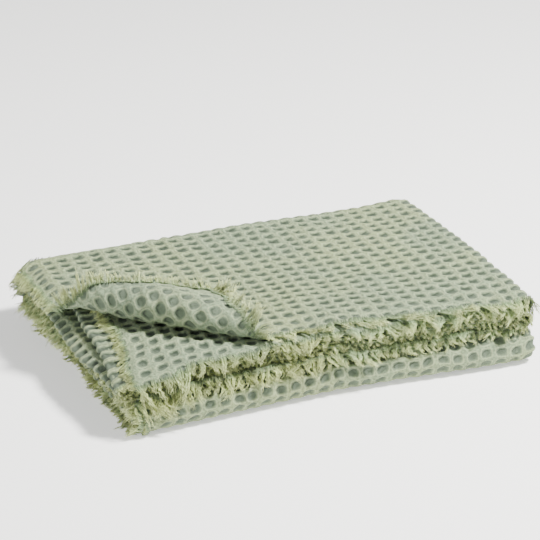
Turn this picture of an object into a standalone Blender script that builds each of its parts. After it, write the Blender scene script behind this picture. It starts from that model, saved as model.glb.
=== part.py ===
"""A woven waffle-cotton throw with frayed edges, folded in half twice each way into a low pack of sixteen layers.

Metres, +Z up. The pack rests on z = 0, its long side runs along X and its open, fringed front faces -Y.
The cloth is one sheet. A point of it is given by two lengths measured over the flat cloth:
  along    from one frayed end to the other, the way that is folded into the four PANELS,
  across   from one frayed side to the other, the way that is folded into the four RUNS.
"""
import math
from collections import namedtuple

import bpy
import numpy as np

# The cloth
THICKNESS = 0.0020
PITCH = 0.0046  # rise from one layer to the next, so two to three millimetres of air lie between two layers
LAYERS = 4  # layers that each of the two zigzag folds makes
PACK_HEIGHT = PITCH * LAYERS * LAYERS
LOWEST_LAYER = THICKNESS / 2

# The pack: the same zigzag of four stretches folds it both ways. The levels are in steps of that zigzag's spacing.
Stretch = namedtuple("Stretch", "name start end level")
LEFT, RIGHT = 0.0, 0.4215
PANELS = (
    Stretch("top panel", LEFT, RIGHT, 1.5),
    Stretch("bottom panel", RIGHT, LEFT, -1.5),
    Stretch("panel over it", LEFT, RIGHT - 0.003, -0.5),
    Stretch("inner panel", RIGHT - 0.003, LEFT + 0.004, 0.5),
)
FRONT, BACK = 0.0, 0.280
INNER_BACK = BACK - 0.011  # the turn inside the big one stays clear of it
RUNS = (
    Stretch("top run", FRONT, BACK, 1.5),
    Stretch("floor run", BACK, FRONT + 0.002, -1.5),
    Stretch("run over it", FRONT + 0.002, INNER_BACK, -0.5),
    Stretch("inner run", INNER_BACK, FRONT + 0.001, 0.5),
)
PANEL_SPACING = PITCH
RUN_SPACING = PITCH * LAYERS
# How far each of the three turns bulges past the stretches that it joins
Turns = namedtuple("Turns", "outer near inner")
PANEL_TURNS = Turns(1.5 * PANEL_SPACING, 0.5 * PANEL_SPACING, 0.5 * PANEL_SPACING)
RUN_TURNS = Turns(0.019, 0.5 * RUN_SPACING, 0.5 * RUN_SPACING)
TURN_STEPS = Turns(6, 4, 3)
ARC_SAMPLES = 65

# The turned-back corner: a crease cuts off this much of the top layer's two edges, a loose roll goes round it, which
# is fuller in the middle, and the flap comes down from the roll to lie on the top layer, with its tip a little up
CORNER_ALONG, CORNER_ACROSS = 0.134, 0.163
CREASE_BOW = 0.0125
ROLL_RADIUS, ROLL_SWELL = 0.0095, 0.0070
FLAP_REST, FLAP_FALL = 0.0058, 0.070
TIP_LIFT, TIP_START, TIP_REACH = 0.006, 0.017, 0.050

# Where the grid has its lines. Those of the corner are finer, and their diagonals run along the crease.
CORNER_STEPS = 12
CORNER_CELLS = CORNER_STEPS + 1  # the roll begins a little inside the crease
PANEL_LINES = (0.010, 0.028, 0.085, 0.200, 0.330)
RUN_LINES = (0.014, 0.045, 0.105, 0.185, 0.240)
PANEL_CORNER_LINES = tuple(CORNER_ALONG * k / CORNER_STEPS for k in range(1, CORNER_CELLS + 1))
RUN_CORNER_LINES = tuple(CORNER_ACROSS * k / CORNER_STEPS for k in range(1, CORNER_CELLS + 1))

# The fringe
FRINGE_GAP = 0.0008  # between the cloth's edge and the strip that holds the locks
ROLL_GAP = 0.0011  # the same for the two edges that go round the roll
STRIP_WIDTH = 0.0030
FRINGE_THICKNESS = 0.0010
LOCK_PITCH = 0.032
LOCK_FILL = 0.76  # the share of its pitch that a lock's root takes
LOCK_LENGTH, LOCK_LENGTHS = 0.013, (0.75, 1.2)
LOCK_LEAN = 0.35  # how far a tip is off to one side, at most, as a share of the root's width
LOCK_TIP = 0.30  # the tip's width as a share of the root's
LOCK_TAPER = 1.5
SEED = 7

# How the pack's ends are out of line, a row for each group of edges from the floor up: the layers it spans,
# counted from 0 on the floor to 15 on top, and its shift at three places along that end. A minus is outward.
Edges = namedtuple("Edges", "what first last shift_a shift_b shift_c")
LEFT_EDGES = (  # along +X, at the front, in the middle and towards the back
    Edges("raw edges on the floor", 0, 1, 0.001, 0.003, 0.004),
    Edges("two smooth folds", 2, 5, 0.004, 0.003, 0.004),
    Edges("raw edges in the middle", 6, 9, 0.002, 0.001, 0.000),
    Edges("smooth fold", 10, 11, -0.008, -0.017, -0.003),
    Edges("smooth fold under the flap", 12, 13, -0.010, -0.002, 0.020),
    Edges("inner raw edge", 14, 14, -0.004, 0.014, 0.026),
    Edges("top raw edge", 15, 15, -0.002, -0.006, -0.008),
)
FRONT_EDGES = (  # along +Y, at the left, in the middle and at the right
    Edges("smooth bulge", 0, 7, 0.001, 0.011, 0.000),
    Edges("raw edges over it", 8, 11, -0.002, 0.002, -0.003),
    Edges("raw edges under the flap", 12, 13, -0.002, 0.000, -0.004),
    Edges("inner raw edge", 14, 14, -0.008, -0.001, -0.006),
    Edges("top raw edge", 15, 15, -0.004, -0.001, -0.008),
)
# The places of the last two shifts along each end, and the one by which the shift is gone
Places = namedtuple("Places", "b c gone")
LEFT_PLACES = Places(0.10, 0.20, INNER_BACK)
FRONT_PLACES = Places(0.22, 0.41, 0.46)
LEFT_REACH, FRONT_REACH = (0.20, 0.0), (0.16, 0.0)  # from where nothing has moved to where all has
RIGHT_BULGE, RIGHT_REACH = 0.003, (0.25, 0.42)  # the middle of the right end, over its corners

# Where the pack is lower: the share of the height that is lost, and from where it is lost by nothing to where it is
# lost in full, along X and along Y. None is all along.
Sink = namedtuple("Sink", "what share x_span y_span")
SINKS = (
    Sink("left end pressed thinner", 0.02, (0.06, 0.0), None),
    Sink("front pressed thinner", 0.04, None, (0.05, 0.0)),
    Sink("back pressed thinner", 0.02, None, (0.25, 0.30)),
    Sink("dip at the back", 0.04, (0.24, 0.33), (0.16, 0.28)),
    Sink("end of that dip before the corner", -0.04, (0.36, 0.42), (0.16, 0.28)),
    Sink("corner from which the top layer is folded away", 0.14, (0.07, 0.0), (0.08, 0.0)),
    Sink("what hangs out past the left end", 0.11, (0.0, -0.020), None),
    Sink("what hangs out past the front", 0.11, None, (0.0, -0.020)),
)
RIPPLE, RIPPLE_X, RIPPLE_Y = 0.02, (0.071, 0.6), (0.085, 0.4)  # height, then length and phase along X and Y

COLOURS = {"waffle_cotton": (0.50, 0.56, 0.45), "fringe_cotton": (0.62, 0.65, 0.42)}
ROUGHNESS = 0.9


def ease(t):
    """A smooth step: 0 below 0, 1 above 1."""
    t = np.clip(t, 0.0, 1.0)
    return t * t * (3.0 - 2.0 * t)


def fade(value, span):
    """A smooth step from 0 at the span's first place to 1 at its second, or 1 all along if there is no span."""
    return 1.0 if span is None else ease((value - span[0]) / (span[1] - span[0]))


class Zigzag:
    """One fold of four stretches: first on top, out and round a big turn to the lowest, back through the two between.

    Pieces alternate: straight stretch, half-ellipse turn, straight stretch, and so on. A length along the cloth is
    turned into a place along the fold, a level, and the normal there, which points up on the first stretch.
    """

    def __init__(self, stretches, spacing, turns, coarse, fine):
        self.spacing = spacing
        self.pieces = []
        length = 0.0
        for number, stretch in enumerate(stretches):
            size = abs(stretch.end - stretch.start)
            self.pieces.append((length, length + size, stretch, None, None))
            length += size
            if number + 1 < len(stretches):
                curve = self.turn(stretch, stretches[number + 1], turns[number], length)
                self.pieces.append((length, curve[0][-1], None, curve, number))
                length = curve[0][-1]
        self.length = length
        self.lines = self.grid_lines(coarse, fine)

    def turn(self, stretch, following, bulge, length):
        """The half ellipse between two stretches: lengths along the cloth, places and levels."""
        angles = np.linspace(0.0, math.pi, ARC_SAMPLES)
        away = math.copysign(1.0, stretch.end - stretch.start)
        place = stretch.end + (following.start - stretch.end) * (1 - np.cos(angles)) / 2
        place = place + away * bulge * np.sin(angles)
        half = (stretch.level - following.level) * self.spacing / 2
        level = (stretch.level + following.level) * self.spacing / 2 + half * np.cos(angles)
        steps = np.hypot(np.diff(place), np.diff(level))
        return length + np.concatenate(([0.0], np.cumsum(steps))), place, level

    def at(self, length):
        """Place, level and the normal's two parts for an array of lengths, which may run past either end."""
        length = np.asarray(length, float)
        place, level, normal_place, normal_level = (np.zeros_like(length) for _ in range(4))
        for index, (start, end, stretch, curve, _) in enumerate(self.pieces):
            after_start = (length >= start) | (index == 0)
            here = after_start & ((length < end) | (index == len(self.pieces) - 1))
            if stretch is not None:
                away = math.copysign(1.0, stretch.end - stretch.start)
                place = np.where(here, stretch.start + away * (length - start), place)
                level = np.where(here, stretch.level * self.spacing, level)
                normal_place = np.where(here, 0.0, normal_place)
                normal_level = np.where(here, away, normal_level)
            else:
                arc, along, up = curve
                d_along, d_up = np.gradient(along, arc), np.gradient(up, arc)
                size = np.hypot(d_along, d_up)
                place = np.where(here, np.interp(length, arc, along), place)
                level = np.where(here, np.interp(length, arc, up), level)
                normal_place = np.where(here, np.interp(length, arc, -d_up / size), normal_place)
                normal_level = np.where(here, np.interp(length, arc, d_along / size), normal_level)
        return place, level, normal_place, normal_level

    def grid_lines(self, coarse, fine):
        """The lengths at which the grid has its lines; the first stretch begins with the fine ones."""
        found = []
        for index, (start, end, stretch, _, number) in enumerate(self.pieces):
            if stretch is None:
                found.extend(np.linspace(start, end, TURN_STEPS[number] + 1)[:-1])
                continue
            found.append(start)
            places = coarse if index else fine + tuple(p for p in coarse if p > fine[-1])
            low, high = sorted((stretch.start, stretch.end))
            found.extend(sorted(start + abs(p - stretch.start) for p in places if low < p < high))
        found.append(self.length)
        return np.array(found)


ALONG = Zigzag(PANELS, PANEL_SPACING, PANEL_TURNS, PANEL_LINES, PANEL_CORNER_LINES)
ACROSS = Zigzag(RUNS, RUN_SPACING, RUN_TURNS, RUN_LINES, RUN_CORNER_LINES)


def turn_back_corner(x, y, height, in_corner):
    """Carry the top layer's corner round a roll along the crease and lay it down on the layer."""
    crease = math.hypot(CORNER_ALONG, CORNER_ACROSS)
    inward = (CORNER_ACROSS / crease, CORNER_ALONG / crease)
    corner_depth = CORNER_ALONG * inward[0]
    share = np.clip((x - LEFT) * inward[1] / crease + (CORNER_ACROSS - y) * inward[0] / crease, 0.0, 1.0)
    fullness = np.sin(math.pi * share)
    radius = ROLL_RADIUS + ROLL_SWELL * fullness
    past = corner_depth - CREASE_BOW * fullness - (x * inward[0] + y * inward[1])
    turned = past + radius
    angle = np.clip(turned / radius, 0.0, math.pi)
    beyond = np.maximum(turned - math.pi * radius, 0.0)
    reach = -radius + radius * np.sin(angle) - beyond
    rise = radius * (1 - np.cos(angle)) - (2 * radius - FLAP_REST) * ease(beyond / FLAP_FALL)
    rise += TIP_LIFT * ease((beyond - TIP_START) / TIP_REACH)
    rolled = in_corner & (turned > 0)
    move = np.where(rolled, past - reach, 0.0)
    return x + inward[0] * move, y + inward[1] * move, height + np.where(rolled, rise, 0.0)


def edge_shift(edges, places, z, place):
    """The shift of the pack's edges at height z and this place along the end, smooth between the table's shifts."""
    levels = [LOWEST_LAYER + PITCH * layer for row in edges for layer in (row.first, row.last)]
    a, b, c = (np.interp(z, levels, [row[column] for row in edges for _ in range(2)]) for column in (3, 4, 5))
    shift = a + (b - a) * fade(place, (0.0, places.b)) + (c - b) * fade(place, (places.b, places.c))
    return shift * fade(place, (places.gone, places.c))


def settle(x, y, z):
    """Bend the neat pack into the uneven one, always so that what lies over a layer stays over it."""
    moved_x = x + fade(x, LEFT_REACH) * edge_shift(LEFT_EDGES, LEFT_PLACES, z, y)
    moved_y = y + fade(y, FRONT_REACH) * edge_shift(FRONT_EDGES, FRONT_PLACES, z, x)
    moved_x += RIGHT_BULGE * fade(x, RIGHT_REACH) * np.sin(math.pi * np.clip(y / BACK, 0.0, 1.0))
    sunk = sum(row.share * fade(moved_x, row.x_span) * fade(moved_y, row.y_span) for row in SINKS)
    (length_x, phase_x), (length_y, phase_y) = RIPPLE_X, RIPPLE_Y
    ripple = RIPPLE * np.sin(moved_x / length_x + phase_x) * np.sin(moved_y / length_y + phase_y)
    height = np.maximum(z - LOWEST_LAYER, 0.0)
    return moved_x, moved_y, LOWEST_LAYER + height * (1 + ripple - sunk)


def neat_surface(along, across):
    """The middle of the cloth in the neat pack: each panel is carried at its own level along the folded runs."""
    along, across = np.broadcast_arrays(np.asarray(along, float), np.asarray(across, float))
    x, offset, _, _ = ALONG.at(along)
    y, level, normal_y, normal_z = ACROSS.at(across)
    y = y + normal_y * offset
    z = (PACK_HEIGHT - PITCH) / 2 + LOWEST_LAYER + level + normal_z * offset
    in_corner = (along < RIGHT - LEFT) & (across < BACK - FRONT)
    return np.stack(turn_back_corner(x, y, z, in_corner), axis=-1)


def settled(points):
    return np.stack(settle(*np.moveaxis(points, -1, 0)), axis=-1)


def beyond_edge(edge, inner, out):
    """Points at distances out from the edge of the neat cloth, straight on from its last cells, then settled."""
    away = edge - inner
    away /= np.linalg.norm(away, axis=-1, keepdims=True)
    return settled(edge + away * out[:, None])


def beyond_end(edge, inner):
    """The fringe of an end: a function from lengths across and distances out to points."""
    return lambda across, out: beyond_edge(neat_surface(edge, across), neat_surface(inner, across), out)


def beyond_side(edge, inner):
    """The fringe of a side: a function from lengths along and distances out to points."""
    return lambda along, out: beyond_edge(neat_surface(along, edge), neat_surface(along, inner), out)


def make_material(name):
    material = bpy.data.materials.new(name)
    material.use_nodes = True
    shader = material.node_tree.nodes["Principled BSDF"]
    shader.inputs["Base Color"].default_value = (*COLOURS[name], 1.0)
    shader.inputs["Roughness"].default_value = ROUGHNESS
    shader.inputs["Metallic"].default_value = 0.0
    return material


def make_sheet(name, points, faces, thickness, material, collection):
    """An open surface that Solidify turns into a thin closed one."""
    mesh = bpy.data.meshes.new(name)
    mesh.from_pydata(points.reshape(-1, 3).tolist(), [], faces)
    mesh.materials.append(material)
    mesh.shade_smooth()
    sheet = bpy.data.objects.new(name, mesh)
    collection.objects.link(sheet)
    solidify = sheet.modifiers.new("thickness", "SOLIDIFY")
    solidify.thickness = thickness
    solidify.offset = 0.0
    return sheet


def make_cloth(material, collection):
    points = settled(neat_surface(ALONG.lines[:, None], ACROSS.lines[None, :]))
    rows, columns = points.shape[:2]
    faces = []
    for i in range(rows - 1):
        for j in range(columns - 1):
            a, b = i * columns + j, (i + 1) * columns + j
            if i < CORNER_CELLS and j < CORNER_CELLS:
                faces += [(a, b, a + 1), (b, b + 1, a + 1)]
            else:
                faces.append((a, b, b + 1, a + 1))
    return make_sheet("waffle_cloth", points, faces, THICKNESS, material, collection)


def lock_spans(fold):
    """Spans of the strip along one edge: (start, end, has a lock). Of the turns only the big one has locks."""
    spans = []
    for start, end, stretch, _, number in fold.pieces:
        if stretch is None:
            marks = np.linspace(start, end, TURN_STEPS[number] + 1)
            locks = fold is ACROSS and number == 0
            spans.extend((a, b, locks and k % 2 == 1) for k, (a, b) in enumerate(zip(marks[:-1], marks[1:])))
            continue
        count = max(1, round((end - start) / LOCK_PITCH))
        step = (end - start) / (count + 1 - LOCK_FILL)
        bare = step * (1 - LOCK_FILL)
        for k in range(count):
            spans.append((start + k * step, start + k * step + bare, False))
            spans.append((start + k * step + bare, start + (k + 1) * step, True))
        spans.append((start + count * step, end, False))
    return spans


def lower(points):
    """Bring a fringe's thin sheet down by what the cloth is thicker, so that the lowest one rests on the floor."""
    points[..., 2] = np.maximum(points[..., 2] - (THICKNESS - FRINGE_THICKNESS) / 2, FRINGE_THICKNESS / 2)
    return points


def beside(lines, place, marks, out):
    """Points of a fringe: straight between the grid's lines, as the faceted edge of the cloth beside it is."""
    after = np.clip(np.searchsorted(lines, marks, side="right"), 1, len(lines) - 1)
    share = ((marks - lines[after - 1]) / (lines[after] - lines[after - 1]))[:, None]
    return place(lines[after - 1], out) * (1 - share) + place(lines[after], out) * share


def make_fringe(name, fold, gap, place, material, collection, random):
    """A strip beside one edge of the cloth with its locks; place(along the edge, distance out) gives a point."""
    points, faces = [], []

    def add_row(row):
        points.extend(row)
        return range(len(points) - len(row), len(points))

    spans = lock_spans(fold)
    marks = [spans[0][0]] + [end for _, end, _ in spans]
    strip_end = gap + STRIP_WIDTH
    inner = add_row([(m, gap) for m in marks])
    outer = add_row([(m, strip_end) for m in marks])
    for k, (start, end, has_lock) in enumerate(spans):
        faces.append((inner[k], inner[k + 1], outer[k + 1], outer[k]))
        if not has_lock:
            continue
        length = LOCK_LENGTH * random.uniform(*LOCK_LENGTHS)
        lean = (end - start) * random.uniform(-LOCK_LEAN, LOCK_LEAN)
        root = (outer[k], outer[k + 1])
        for share in (0.5, 1.0):
            half_width = (end - start) / 2 * (1 - (1 - LOCK_TIP) * share ** LOCK_TAPER)
            centre = (start + end) / 2 + lean * share ** 2
            out = strip_end + length * share
            row = add_row([(centre - half_width, out), (centre + half_width, out)])
            faces.append((root[0], root[1], row[1], row[0]))
            root = (row[0], row[1])
    marks, out = np.array(points).T
    points = lower(beside(fold.lines, place, marks, out))
    return make_sheet(name, points, faces, FRINGE_THICKNESS, material, collection)


def corners_of(piece, graph):
    mesh = piece.evaluated_get(graph).to_mesh()
    values = np.empty(len(mesh.vertices) * 3)
    mesh.vertices.foreach_get("co", values)
    return values.reshape(-1, 3)


def rest_at_origin(pieces):
    """Move every piece together, so that the pack is centred over the origin."""
    bpy.context.view_layer.update()
    graph = bpy.context.evaluated_depsgraph_get()
    corners = np.concatenate([corners_of(piece, graph) for piece in pieces])
    low, high = corners.min(axis=0), corners.max(axis=0)
    shift = np.array((-(low[0] + high[0]) / 2, -(low[1] + high[1]) / 2, 0.0))
    for piece in pieces:
        values = np.empty(len(piece.data.vertices) * 3)
        piece.data.vertices.foreach_get("co", values)
        piece.data.vertices.foreach_set("co", (values.reshape(-1, 3) + shift).ravel())
        piece.data.update()
    print("size", (high - low).round(4), "lowest", low[2].round(5), "shift", shift.round(4))


def main():
    for old in list(bpy.data.objects):
        bpy.data.objects.remove(old, do_unlink=True)
    collection = bpy.data.collections.new("folded_waffle_throw")
    bpy.context.scene.collection.children.link(collection)
    woven = make_material("waffle_cotton")
    frayed = make_material("fringe_cotton")
    random = np.random.default_rng(SEED)

    pieces = [make_cloth(woven, collection)]
    fringes = (
        ("fringe_top_end", ACROSS, ROLL_GAP, beyond_end(*ALONG.lines[[0, 1]])),
        ("fringe_inner_end", ACROSS, FRINGE_GAP, beyond_end(*ALONG.lines[[-1, -2]])),
        ("fringe_top_side", ALONG, ROLL_GAP, beyond_side(*ACROSS.lines[[0, 1]])),
        ("fringe_inner_side", ALONG, FRINGE_GAP, beyond_side(*ACROSS.lines[[-1, -2]])),
    )
    for name, fold, gap, place in fringes:
        pieces.append(make_fringe(name, fold, gap, place, frayed, collection, random))
    rest_at_origin(pieces)
    print("cloth", round(ALONG.length, 3), "by", round(ACROSS.length, 3))


main()
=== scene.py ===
# %% [markdown]
# # A waffle cotton throw, folded into a low pack
#
# The real thing is one length of washed waffle cotton with four frayed edges. It is folded in half twice
# each way, laid down as a low pack of sixteen layers, and one corner of the top layer is turned back.
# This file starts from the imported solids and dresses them: the cloth gets its real weave of ridges and
# pits, and each frayed edge gets its loose yarns. All lengths are metres, +Z is up, and the pack lies on
# z = 0.

import math
from collections import namedtuple

import bpy
import numpy as np
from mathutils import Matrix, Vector
from mathutils.geometry import delaunay_2d_cdt


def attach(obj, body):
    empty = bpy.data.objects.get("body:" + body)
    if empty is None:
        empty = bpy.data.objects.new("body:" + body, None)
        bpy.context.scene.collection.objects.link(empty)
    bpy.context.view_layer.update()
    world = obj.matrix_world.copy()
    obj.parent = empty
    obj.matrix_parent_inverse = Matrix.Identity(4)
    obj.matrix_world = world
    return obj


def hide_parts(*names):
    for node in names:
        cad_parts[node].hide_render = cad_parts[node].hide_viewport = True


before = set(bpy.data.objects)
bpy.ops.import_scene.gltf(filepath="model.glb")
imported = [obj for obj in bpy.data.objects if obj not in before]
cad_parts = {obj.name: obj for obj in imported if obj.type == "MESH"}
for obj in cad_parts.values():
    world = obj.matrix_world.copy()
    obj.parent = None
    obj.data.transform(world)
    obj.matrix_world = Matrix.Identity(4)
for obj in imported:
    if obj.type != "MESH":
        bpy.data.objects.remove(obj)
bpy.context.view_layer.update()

# %% [markdown]
# ## Camera, floor and light
#
# The picture looks down a little on the pack from its front left. A long lens stands well back, so the
# pack's edges stay nearly parallel. The floor is a plain pale plane that glows faintly, as a lit studio
# table does. A pale sky fills all shadows. The weave shows by its own small shadows, with painted shade
# in its pits, so one lamp is much stronger than the rest: it stands high at the right and is fairly
# small. A wide, weak one at the left softens the dark side.


# %% Put a new object into the scene
def new_object(name, data):
    """An object of that name, in the scene, at the origin."""
    thing = bpy.data.objects.new(name, data)
    bpy.context.scene.collection.objects.link(thing)
    return thing


# %% The camera
PACK_MIDDLE = np.array((0.2050, 0.1407, 0.0))  # the fold is measured from its front left corner on the floor
AIM = np.array((0.24818, 0.24269, 0.0309)) - PACK_MIDDLE
LOOK = np.array((0.3655, 0.8411, -0.3987))
STAND_BACK = 2.8946
LENS_MM, FILM_MM = 182.7, 36.0

camera_data = bpy.data.cameras.new("camera")
camera_data.lens = LENS_MM
camera_data.sensor_width = FILM_MM
camera = new_object("camera", camera_data)
camera.location = AIM - LOOK * STAND_BACK
camera.rotation_euler = Vector(LOOK).to_track_quat("-Z", "Y").to_euler()
bpy.context.scene.camera = camera
print("camera at", [round(v, 3) for v in camera.location])


# %% Helpers that join nodes
def put(tree, socket, value):
    """Join another node's output to a socket, or set the socket to a plain number or colour."""
    if isinstance(value, bpy.types.NodeSocket):
        tree.links.new(value, socket)
    else:
        socket.default_value = value


def add_node(tree, kind, **inputs):
    """A new node. Each word is one of its inputs, with the number, colour or output that it gets."""
    node = tree.nodes.new(kind)
    for name, value in inputs.items():
        put(tree, node.inputs[name.replace("_", " ")], value)
    return node


def calculate(tree, operation, *values):
    """A Math node over one to three numbers or outputs."""
    node = tree.nodes.new("ShaderNodeMath")
    node.operation = operation
    for socket, value in zip(node.inputs, values):
        put(tree, socket, value)
    return node.outputs[0]


def blend_colours(tree, share, first, second, way="MIX"):
    """The second colour over the first, by a share."""
    node = tree.nodes.new("ShaderNodeMix")
    node.data_type = "RGBA"
    node.blend_type = way
    for socket, value in ((node.inputs[0], share), (node.inputs[6], first), (node.inputs[7], second)):
        put(tree, socket, value)
    return node.outputs[2]


def steps_between(tree, value, low, high, start=0.0, end=1.0):
    """A smooth step from start to end as the value goes from low to high."""
    node = tree.nodes.new("ShaderNodeMapRange")
    node.interpolation_type = "SMOOTHSTEP"
    for socket, number in zip(node.inputs, (value, low, high, start, end)):
        put(tree, socket, number)
    return node.outputs[0]


def times_grey(tree, colour, light):
    """A colour made lighter or darker by a number."""
    grey = add_node(tree, "ShaderNodeCombineColor", Red=light, Green=light, Blue=light).outputs[0]
    return blend_colours(tree, 1.0, colour, grey, "MULTIPLY")


def new_material(name, roughness):
    """A dull material with its plain shader; returns it, its tree and the shader."""
    material = bpy.data.materials.new(name)
    material.use_nodes = True
    shader = material.node_tree.nodes["Principled BSDF"]
    shader.inputs["Roughness"].default_value = roughness
    shader.inputs["Metallic"].default_value = 0.0
    return material, material.node_tree, shader


# %% The floor
FLOOR_HALF = 6.0
FLOOR_COLOUR = (0.93, 0.93, 0.92, 1.0)
GLOW_COLOUR, GLOW = (1.0, 1.0, 0.99, 1.0), 0.6

corners = [(x * FLOOR_HALF, y * FLOOR_HALF, 0.0) for x, y in ((-1, -1), (1, -1), (1, 1), (-1, 1))]
floor_mesh = bpy.data.meshes.new("pale_floor")
floor_mesh.from_pydata(corners, [], [(0, 1, 2, 3)])
floor_material, floor_tree, floor_shader = new_material("pale_floor", 0.8)
put(floor_tree, floor_shader.inputs["Base Color"], FLOOR_COLOUR)
put(floor_tree, floor_shader.inputs["Emission Color"], GLOW_COLOUR)
put(floor_tree, floor_shader.inputs["Emission Strength"], GLOW)
floor_mesh.materials.append(floor_material)
floor = new_object("pale_floor", floor_mesh)

# %% The light
SKY_STRENGTH = 0.30
Lamp = namedtuple("Lamp", "name place size power colour")
LAMPS = (
    Lamp("high_right_lamp", (0.95, -0.60, 1.8), 0.4, 155.0, (1.0, 0.99, 0.96)),
    Lamp("left_lamp", (-2.1, -0.6, 0.8), 1.2, 22.0, (1.0, 1.0, 1.0)),
)

sky = bpy.data.worlds.new("pale_sky")
bpy.context.scene.world = sky
sky.use_nodes = True
sky.node_tree.nodes["Background"].inputs["Color"].default_value = (1.0, 1.0, 1.0, 1.0)
sky.node_tree.nodes["Background"].inputs["Strength"].default_value = SKY_STRENGTH
for row in LAMPS:
    lamp_data = bpy.data.lights.new(row.name, "AREA")
    lamp_data.size = row.size
    lamp_data.energy = row.power
    lamp_data.color = row.colour
    lamp = new_object(row.name, lamp_data)
    lamp.location = row.place
    lamp.rotation_euler = (-Vector(row.place)).to_track_quat("-Z", "Y").to_euler()
print("lamps", [row.name for row in LAMPS])

# %% [markdown]
# ## The fold
#
# A real folded cloth keeps its length: every point of it is given by two lengths over the flat cloth,
# along it and across it, and folding only says where that point goes. Pushing a flat mesh about by hand
# would stretch it, so the fold is worked out by a formula. One zigzag of four straight stretches and
# three round turns gives a place and a height from a length. The cloth goes through that zigzag twice,
# once for each way in which it was folded. Both zigzags go out on top, round a big turn and back at the
# bottom, and then out and back again in the two layers between.

# %% The cloth and its pack
PITCH = 0.0045  # from one layer to the next
HALF_THICK = 0.0020
LAYERS = 4
PACK_HEIGHT = PITCH * LAYERS * LAYERS
RUN_SPACING = PITCH * LAYERS
LOWEST = HALF_THICK  # the middle of the lowest layer, over the floor

Stretch = namedtuple("Stretch", "start end level")
LEFT, RIGHT = 0.0, 0.4212
PANELS = (
    Stretch(LEFT, RIGHT, 1.5),
    Stretch(RIGHT, LEFT, -1.5),
    Stretch(LEFT, RIGHT - 0.003, -0.5),
    Stretch(RIGHT - 0.003, LEFT + 0.004, 0.5),
)
FRONT, BACK = 0.0, 0.2795
INNER_BACK = BACK - 0.011
RUNS = (
    Stretch(FRONT, BACK, 1.5),
    Stretch(BACK, FRONT + 0.002, -1.5),
    Stretch(FRONT + 0.002, INNER_BACK, -0.5),
    Stretch(INNER_BACK, FRONT + 0.001, 0.5),
)


# %% Smooth steps
def ease(t):
    """A smooth step: 0 below 0, 1 above 1, and 3t^2 - 2t^3 between them."""
    t = np.clip(t, 0.0, 1.0)
    return t * t * (3.0 - 2.0 * t)


def fade(value, span):
    """A smooth step from 0 at the span's first place to 1 at its second, or 1 all along without a span."""
    return 1.0 if span is None else ease((value - span[0]) / (span[1] - span[0]))


# %% A zigzag of stretches and turns
Span = namedtuple("Span", "start end")


class Zigzag:
    """Four straight stretches joined by three half ellipses.

    at(length) gives the place along the fold, the height there, and the two parts of the direction that
    points out of the cloth's upper face. A length before the first stretch or past the last goes straight
    on. The lists stretches and turns say between which lengths each of them lies.
    """

    def __init__(self, stretches, spacing, bulges):
        self.spacing = spacing
        self.pieces, self.stretches, self.turns = [], [], []
        self.length = 0.0
        for number, stretch in enumerate(stretches):
            span = Span(self.length, self.length + abs(stretch.end - stretch.start))
            self.pieces.append((span, stretch, None))
            self.stretches.append(span)
            self.length = span.end
            if number + 1 < len(stretches):
                curve = self.turn(stretch, stretches[number + 1], bulges[number])
                span = Span(self.length, curve[0][-1])
                self.pieces.append((span, None, curve))
                self.turns.append(span)
                self.length = span.end

    def turn(self, stretch, following, bulge):
        """A half ellipse from the end of one stretch to the start of the next: lengths, places, heights."""
        angles = np.linspace(0.0, math.pi, 129)
        away = math.copysign(1.0, stretch.end - stretch.start)
        place = stretch.end + (following.start - stretch.end) * (1 - np.cos(angles)) / 2
        place = place + away * bulge * np.sin(angles)
        half = (stretch.level - following.level) * self.spacing / 2
        height = (stretch.level + following.level) * self.spacing / 2 + half * np.cos(angles)
        steps = np.hypot(np.diff(place), np.diff(height))
        return self.length + np.concatenate(([0.0], np.cumsum(steps))), place, height

    def at(self, length):
        length = np.asarray(length, float)
        found = [np.zeros_like(length) for _ in range(4)]
        last = len(self.pieces) - 1
        for index, (span, stretch, curve) in enumerate(self.pieces):
            here = ((length >= span.start) | (index == 0)) & ((length < span.end) | (index == last))
            if stretch is not None:
                away = math.copysign(1.0, stretch.end - stretch.start)
                place = stretch.start + away * (length - span.start)
                values = (place, stretch.level * self.spacing, 0.0, away)
            else:
                arc, along, up = curve
                d_along, d_up = np.gradient(along, arc), np.gradient(up, arc)
                size = np.hypot(d_along, d_up)
                columns = (along, up, -d_up / size, d_along / size)
                values = (np.interp(length, arc, column) for column in columns)
            found = [np.where(here, value, old) for value, old in zip(values, found)]
        return found


ALONG = Zigzag(PANELS, PITCH, (1.5 * PITCH, 0.5 * PITCH, 0.5 * PITCH))
ACROSS = Zigzag(RUNS, RUN_SPACING, (0.019, 0.5 * RUN_SPACING, 0.5 * RUN_SPACING))
print("flat cloth", round(ALONG.length, 3), "by", round(ACROSS.length, 3))


def to_raw_edge(along, across):
    """The distance to the nearest raw edge, over the flat cloth."""
    to_end = np.minimum(along, ALONG.length - along)
    to_side = np.minimum(across, ACROSS.length - across)
    return np.minimum(to_end, to_side)


# %% [markdown]
# ## The turned-back corner
#
# Somebody has lifted the front left corner of the top layer and laid it back over a loose roll. A crease
# cuts off the corner. What lies beyond the crease is carried round a roll, whose radius is largest at the
# middle of the crease, and comes down to lie on the layer. The tip stands up a little, because the cloth
# is springy.

# %% Carry the corner round its roll
CORNER_ALONG, CORNER_ACROSS = 0.134, 0.163
CREASE_BOW = 0.0125
ROLL_RADIUS, ROLL_SWELL = 0.0095, 0.0070
FLAP_REST, FLAP_FALL = 0.0058, 0.070
TIP_LIFT, TIP_START, TIP_REACH = 0.006, 0.017, 0.050


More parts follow.
